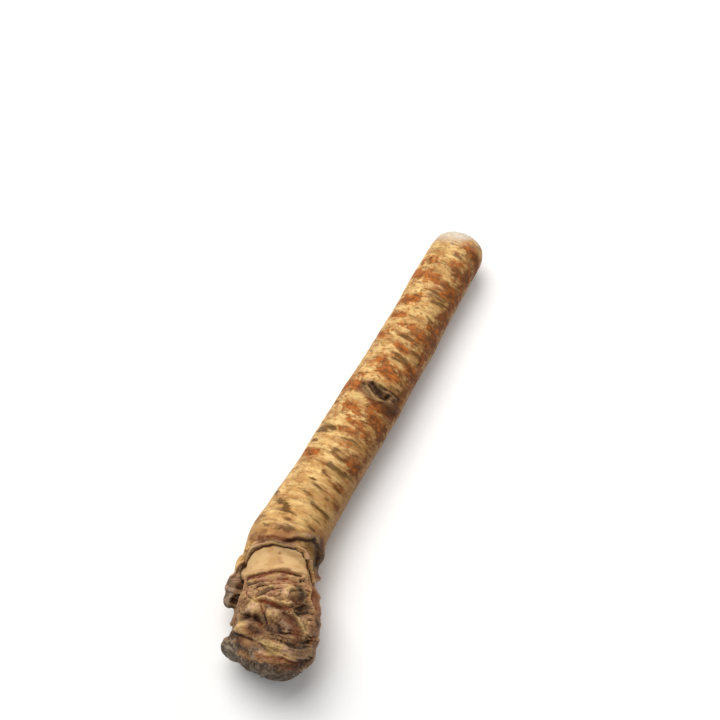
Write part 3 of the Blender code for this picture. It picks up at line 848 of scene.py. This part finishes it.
# %% Rust patches, dark marks and grey dirt
RUST_PATCHES = [
    (5.0, 1.0, [(60, 284), (45, 281), (28, 279), (8, 277)]),
    (4.4, 1.0, [(152, 257), (130, 257), (112, 257), (95, 256), (82, 254)]),
    (3.2, 0.8, [(150, 268), (130, 268), (112, 267)]),
    (5.2, 1.0, [(66, 268), (55, 266), (44, 266), (34, 268)]),
    (4.8, 1.0, [(58, 253), (48, 252), (38, 252), (28, 253)]),
    (3.6, 1.0, [(148, 238), (130, 238), (115, 239), (104, 239)]),
    (2.8, 0.9, [(148, 226), (130, 226), (113, 226)]),
    (2.0, 0.8, [(108, 220), (96, 219.5), (82, 219)]),
    (3.2, 0.9, [(165, 212), (150, 211), (136, 210)]),
    (4.8, 1.0, [(62, 217), (50, 217), (38, 218), (26, 219)]),
    (3.6, 0.9, [(58, 226), (45, 227), (30, 228)]),
    (3.4, 0.9, [(44, 236), (32, 236), (20, 237)]),
    (2.8, 1.0, [(92, 206), (82, 205.5), (74, 205)]),
    (3.4, 0.9, [(108, 194), (98, 193), (86, 192)]),
    (4.2, 1.0, [(95, 188), (84, 187), (72, 186.5), (64, 187)]),
    (4.8, 1.0, [(52, 194), (42, 194), (32, 195), (20, 196)]),
    (4.2, 1.0, [(162, 175), (145, 174.6), (130, 174), (121, 174)]),
    (3.8, 1.0, [(72, 165.5), (60, 166.5), (48, 167), (36, 168), (24, 170)]),
    (2.4, 1.0, [(122, 161), (112, 160.5), (102, 160), (92, 159.5)]),
    (3.2, 0.7, [(94, 154), (84, 153.5), (74, 153)]),
    (3.0, 0.9, [(70, 160), (60, 158), (50, 158)]),
    (2.6, 0.8, [(104, 146), (90, 146), (78, 146)]),
    (2.8, 0.8, [(72, 149), (62, 148), (50, 149)]),
    (3.0, 0.8, [(44, 158), (32, 156), (20, 157)]),
    (3.2, 0.9, [(162, 127), (146, 126), (132, 125.5), (122, 126)]),
    (3.8, 1.0, [(60, 131.5), (52, 130.5), (44, 130), (34, 131)]),
    (2.0, 0.7, [(84, 137), (74, 137)]),
    (1.8, 0.6, [(104, 122), (92, 121.5)]),
    (2.8, 0.8, [(48, 106), (38, 104), (30, 104)]),
    (2.6, 0.7, [(64, 116), (54, 115), (44, 115)]),
    (2.6, 0.7, [(160, 162), (150, 161)]),
    (4.6, 0.6, [(32, 178), (34, 200), (35, 220), (33, 240), (33, 264)]),
    (3.8, 0.5, [(36, 128), (33, 150), (30, 172)]),
]
DARK_MARKS = [
    (1.7, 1.0, [(80, 276.5), (72, 275), (64, 274)]),
    (4.2, 0.9, [(62, 287), (50, 284), (36, 281), (20, 279), (4, 278)]),
    (3.4, 0.8, [(80, 247), (66, 246.5), (56, 247)]),
    (1.7, 0.9, [(74, 241.5), (61, 241.5), (50, 242)]),
    (2.1, 0.9, [(107, 233), (97, 232)]),
    (2.4, 1.0, [(82, 218), (70, 218), (60, 219)]),
    (2.1, 0.8, [(92, 213), (80, 212), (66, 213)]),
    (2.4, 0.9, [(56, 206.5), (46, 206.5), (38, 207)]),
    (1.9, 0.7, [(66, 230), (56, 229)]),
    (2.5, 0.9, [(82, 199), (72, 198), (62, 198.5)]),
    (1.7, 0.6, [(146, 182), (130, 181.6), (116, 182)]),
    (1.9, 0.8, [(60, 181), (50, 181), (40, 182)]),
    (2.4, 0.9, [(94, 160), (86, 158.5), (78, 158.5)]),
    (2.7, 1.0, [(152, 143), (136, 143.5), (122, 143.5), (112, 143.5)]),
    (1.7, 0.7, [(92, 140), (80, 141), (66, 142)]),
    (1.9, 0.7, [(152, 134), (138, 134)]),
    (2.5, 1.0, [(88, 131.5), (77, 130), (66, 129.5)]),
    (2.5, 1.0, [(84, 124), (72, 122.5), (62, 122), (52, 122)]),
    (1.7, 1.0, [(86, 118), (74, 115.6), (64, 114), (54, 113.5), (44, 113.5)]),
    (1.5, 0.9, [(94, 110), (80, 107.5), (68, 105.5), (56, 104)]),
    (2.0, 1.0, [(94, 101.5), (84, 99.5), (74, 97.5), (64, 96), (54, 95), (44, 94)]),
    (2.5, 0.8, [(164, 98), (150, 94.5), (138, 92.5), (127, 91)]),
    (1.3, 0.9, [(110, 88.5), (98, 86.5), (86, 86)]),
    (1.3, 0.8, [(102, 84.5), (90, 82.8)]),
    (1.4, 0.8, [(94, 80.5), (84, 78.5)]),
    (1.0, 0.8, [(130, 77), (114, 77.5), (100, 77.5), (88, 76.5)]),
    (1.5, 0.7, [(66, 90), (56, 88), (46, 88)]),
    (1.5, 0.7, [(62, 84), (52, 82)]),
]
GREY_PATCHES = [
    (5.0, 1.0, [(200, 9), (182, 8.5), (170, 9), (158, 10.5)]),
    (1.6, 0.8, [(108, 10), (100, 8.6)]),
    (1.6, 0.7, [(60, 18), (50, 18), (40, 20)]),
    (1.6, 0.7, [(56, 45), (50, 43)]),
    (2.6, 0.6, [(72, 24.5), (66, 24)]),
    (2.4, 0.5, [(168, 21), (160, 19)]),
]
patches = np.column_stack([stroke_cover(rows) for rows in (RUST_PATCHES, DARK_MARKS, GREY_PATCHES)])
print("patched share of the skin:", (patches > 0.5).mean(axis=0).round(3))

# %% [markdown]
# A material can't see these lists, but it can read what is stored on the skin's points. So the
# map, the masks, the hollows, and the stains with their painted shade go there, three numbers to a
# vector where they fit.

# %% Keep them for the material
keep(skin, "straight", rolled_out(along, turn))
keep(skin, "part_masks", np.column_stack([crown_mask, bark_mask, end_mask]))
keep(skin, "more_masks", np.column_stack([neck_mask, tip_mask, scar_mask]))
keep(skin, "hollows", np.column_stack(hollows))
keep(skin, "stains_and_shade", stains_and_shade)
keep(skin, "patches", patches)
keep(skin, "over_edge", over_edge)
keep(skin, "knob", stub_mask)
keep(skin, "core_ring", core_ring)

# %% [markdown]
# ## The colours of the bark
# The shaft is cream and tan, with rust-brown flakes of old skin on its upper half and olive cross
# marks all over. We mix it in layers, palest first, as it would be painted.

# %% Paints
def paint(red, green, blue):
    """A colour as a paint chart gives it, 0 to 255, in the linear values that shaders mix."""
    return tuple((c / 255 / 12.92) if c < 11 else ((c / 255 + 0.055) / 1.055) ** 2.4
                 for c in (red, green, blue))


TAN = paint(204, 156, 93)
WARM_TAN = paint(176, 128, 74)
CREAM = paint(240, 203, 135)
# A deep tan for the painted shade of the right side and for dark fibre streaks.
SHADE_AND_FIBRE_TAN = paint(134, 90, 42)
RUST = paint(181, 99, 35)
DARK_RUST = paint(98, 53, 21)
GREEN_CREAM = paint(206, 176, 112)
OLIVE = paint(97, 68, 29)
TORN_BARK = paint(158, 104, 70)
NECK = paint(212, 175, 123)
CROWN = paint(147, 107, 67)
PALE_CROWN = paint(187, 145, 99)
PINK_RIDGE = paint(232, 190, 154)
PINK_CROWN = paint(164, 114, 84)
DARK_CROWN = paint(96, 68, 46)
RED_CREASE = paint(108, 48, 22)
BLACK_CREASE = paint(42, 23, 10)
GREY_DIRT = paint(78, 66, 54)
PALE_DIRT = paint(144, 130, 112)
PINK_STUB = paint(190, 150, 120)
GREY_STUB = paint(140, 122, 104)
SCAR_DARK = paint(66, 40, 20)
SCAR_PALE = paint(140, 104, 72)
CHALK = paint(208, 198, 184)
DULL_CHALK = paint(172, 156, 134)

# %% The skin's stored map and masks as wires
bark, shader, start = new_material("bark")


def vector_kept(name):
    """A stored vector as a wire."""
    return start.node("ShaderNodeAttribute", {"attribute_name": name}, {}, 1)


def number_kept(name):
    """A stored number as a wire."""
    return start.node("ShaderNodeAttribute", {"attribute_name": name}, {}, 2)


def parts_of(wire):
    """The three numbers of a vector wire."""
    return [wire.node("ShaderNodeSeparateXYZ", {}, {0: wire}, output) for output in range(3)]


place = vector_kept("straight")
crown, bark_on, end = parts_of(vector_kept("part_masks"))
neck, tip, scar = parts_of(vector_kept("more_masks"))
fine, middling, broad = parts_of(vector_kept("hollows"))
dark_stain_and_shade, red_stain, pale_stain = parts_of(vector_kept("stains_and_shade"))
rust_patch, dark_mark, grey_patch = parts_of(vector_kept("patches"))
over, knob, ring = [number_kept(name) for name in ("over_edge", "knob", "core_ring")]
to_right, to_top, distance = parts_of(place)

# %% Grains that several layers share
drift = grain(start, place * (0.05, 0.05, 0.05), 1, 3)
streaks = grain(start, place * (0.06, 0.06, 0.22), 1, 5, 0.6)
mottle = grain(start, place * (0.30, 0.30, 0.45) + 3.0, 1, 4, 0.65)
fibres = grain(start, place * (0.11, 0.11, 1.1) + 41.0, 1, 4, 0.6)
specks = grain(start, place * (0.5, 0.5, 0.5), 1, 5, 0.7)
speckle = grain(start, place * (0.42, 0.42, 0.6) + 83.0, 1, 4, 0.6)

# %% Cream and tan, with painted shade on the right side
colour = drift.rise(0.35, 0.65).mix(WARM_TAN, TAN)
paleness = streaks + mottle * 0.5 + distance.rise(70, 150) * 0.05
colour = (paleness.rise(0.67, 0.93) * 0.9).mix(colour, CREAM)
greens = grain(start, place * (0.09, 0.09, 0.12) + 23.0, 1, 3).rise(0.50, 0.70)
colour = (greens * 0.5).mix(colour, GREEN_CREAM)
colour = (specks.rise(0.50, 0.64) * 0.35).mix(colour, WARM_TAN)
# Painted shade: the right side, turned away from the lamp, is darkened towards a deep tan.
shaded_right_side = to_right.rise(-3.0, 20.0)
colour = (shaded_right_side * 0.75).mix(colour, SHADE_AND_FIBRE_TAN)
unseen = (to_top * -1).rise(-2.0, 8.0)

# %% Olive cross marks
broad_dashes = grain(start, place * (0.065, 0.065, 0.36), 1, 3.0, 0.5)
thin_dashes = grain(start, place * (0.11, 0.11, 0.55) + 17.0, 1, 3.0, 0.55)
marks = broad_dashes + dark_mark * 0.30 + unseen * 0.04 + fibres * 0.45 + speckle * 0.25
marks = marks.rise(0.88, 1.16)
marks = (marks + (thin_dashes + fibres * 0.3).rise(0.66, 0.92) * 0.55) * bark_on
colour = (marks * 0.95).mix(colour, OLIVE)

# %% Rust flakes
shreds = grain(start, place * (0.16, 0.16, 0.32), 1, 6, 0.72, 0.2)
more_rust = rust_patch * 0.29 + distance.rise(84, 185) * (unseen * 0.09 + 0.05)
flakes = shreds + more_rust + fibres * 0.25 + speckle * 0.40
flakes = flakes.rise(0.86, 1.10) * bark_on
rust = grain(start, place * (0.20, 0.20, 0.40) + 9.0, 1, 5, 0.65)
# Painted shade: the rust turns darker on the right side, away from the lamp.
rust = rust + fibres * 0.3 + specks * 0.3 - shaded_right_side * 0.14
colour = (flakes * 0.95).mix(colour, rust.rise(0.62, 0.96).mix(DARK_RUST, RUST))
colour = ((1 - fibres).rise(0.50, 0.72) * bark_on * 0.35).mix(colour, SHADE_AND_FIBRE_TAN)

# %% [markdown]
# Below the torn edge there is no cork: the neck is smooth and pale, and the crown is a brown
# patchwork of old leaf bases, darker towards the cut end, partly as painted shade. Its ridges are
# pale, pinkish in places, from wear and partly as painted highlight, and its creases are red-brown
# or black, by how deep they lie under the smoothed skin, partly as painted shade.

# %% The torn edge, the neck and the crown
torn = (over * over * -1).rise(-30.0, -4.0) * bark_on
colour = (torn * 0.6).mix(colour, TORN_BARK)
blotches = grain(start, place * (0.12, 0.12, 0.2), 1, 4, 0.6)
neck_colour = (blotches.rise(0.42, 0.70) * 0.6).mix(NECK, WARM_TAN)
colour = neck.mix(colour, neck_colour)
crown_colour = blotches.rise(0.38, 0.62).mix(CROWN, PALE_CROWN)
pinks = grain(start, place * (0.16, 0.16, 0.16) + 31.0, 1, 3)
crown_colour = (pinks.rise(0.5, 0.65) * 0.6).mix(crown_colour, PINK_CROWN)
# Painted shade in part: the crown darkens towards the cut end, beside its own darker brown.
crown_colour = ((1 - distance.rise(24, 44)) * 0.45).mix(crown_colour, DARK_CROWN)
crown_colour = (speckle.rise(0.50, 0.64) * 0.6).mix(crown_colour, DARK_CROWN)
colour = crown.mix(colour, crown_colour)

# %% Ridges painted pale and creases dark: wear and dirt, with painted highlight and shade
# Painted highlight in part: the ridge tops are paler, as well as worn.
ridge_tops = (middling * -1).rise(0.10, 0.60) * (1 - end) * (distance.rise(12, 44) * 0.25 + 0.2)
wear_and_highlight = pinks.rise(0.45, 0.60).mix(CREAM, PINK_RIDGE)
colour = ridge_tops.mix(colour, wear_and_highlight)
reds = grain(start, place * (0.1, 0.1, 0.1) + 57.0, 1, 2).rise(0.42, 0.58)
crease_colour = reds.mix(BLACK_CREASE, RED_CREASE)
# Painted shade in part: the creases darken by their depth, over their own red-brown.
colour = (middling.rise(0.05, 0.55) * 0.75).mix(colour, crease_colour)
colour = (fine.rise(0.03, 0.20) * 0.75).mix(colour, crease_colour)
# Painted shade: the broad hollows go nearly black.
colour = (broad.rise(0.5, 1.8) * 0.7).mix(colour, BLACK_CREASE)

# %% [markdown]
# The scar shows the side root's dark rings, the cut end has gone grey with dirt, and the broken
# tip has dried to a white chalk that thins out over the last bark. The right side keeps less of
# it, partly as painted shade.

# %% The scar, the cut end and the chalky tip
scar_rings = grain(start, place * (0.1, 0.1, 0.9), 1, 4, 0.7)
scar_colour = scar_rings.rise(0.42, 0.66).mix(SCAR_DARK, SCAR_PALE)
colour = (scar * 0.8).mix(colour, scar_colour)
end_colour = specks.rise(0.45, 0.68).mix(GREY_DIRT, PALE_DIRT)
colour = (end * 0.85).mix(colour, end_colour)
chalk = tip * 0.6 + distance.rise(273, 289) + specks * 1.2 - 0.95
# Painted shade in part: the chalk is taken off the right side, away from the lamp.
chalk = (chalk - shaded_right_side * 1.1) * (1 - dark_mark)
chalk_colour = (specks.rise(0.46, 0.66) * 0.7 + ring * 0.5).mix(CHALK, DULL_CHALK)
colour = (chalk.rise(0.0, 0.9) * 0.9).mix(colour, chalk_colour)

# %% Grey dirt
dirt_colour = speckle.rise(0.42, 0.60).mix(PALE_DIRT, GREY_DIRT)
colour = (grey_patch * (specks + 0.4)).mix(colour, dirt_colour)

# %% The stains, with painted shade behind the stub
shaken = grain(start, place * (0.35, 0.35, 0.5) + 71.0, 1, 5, 0.65) * 1.6 + 0.2
colour = (pale_stain * shaken * 0.6).mix(colour, wear_and_highlight)
colour = (red_stain * shaken * 0.8).mix(colour, RED_CREASE)
# Dark stains, with the painted shade of the gap and crease behind the stub.
colour = (dark_stain_and_shade * shaken * 0.9).mix(colour, BLACK_CREASE)

# %% The stub
knob_colour = distance.rise(42, 50).mix(GREY_STUB, PINK_STUB)
knob_colour = (speckle * 0.5 + blotches * 0.5).rise(0.49, 0.58).mix(knob_colour, GREY_DIRT)
colour = (knob.rise(0.1, 0.6) * (1 - dark_stain_and_shade) * 0.9).mix(colour, knob_colour)

# %% [markdown]
# Old bark is dry and hardly shines, and the wet neck shines a little more. A fine grain along the
# fibres is too small for the mesh, so it is left to a bump. Flakes lie on top of it and marks lie
# under it.

# %% Feed the shader
BUMP_HEIGHT = 0.3 * MM

feed(shader, Base_Color=colour)
fine_grain = grain(start, place * (0.5, 0.5, 1.4), 1, 6, 0.7)
height = fine_grain + flakes * 0.35 - marks * 0.25
bump = {"Strength": 0.7, "Distance": BUMP_HEIGHT, "Height": height}
feed(shader, Normal=start.node("ShaderNodeBump", {}, bump))
feed(shader, Roughness=0.55 + flakes * 0.15 + middling * 0.2 - neck * 0.08)
shader.inputs["Specular IOR Level"].default_value = 0.15
skin.data.materials.clear()
skin.data.materials.append(bark)
print("nodes in the bark's material:", len(bark.node_tree.nodes))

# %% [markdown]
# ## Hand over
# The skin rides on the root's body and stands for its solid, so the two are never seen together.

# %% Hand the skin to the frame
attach(skin, "root")
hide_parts("horseradish_root")
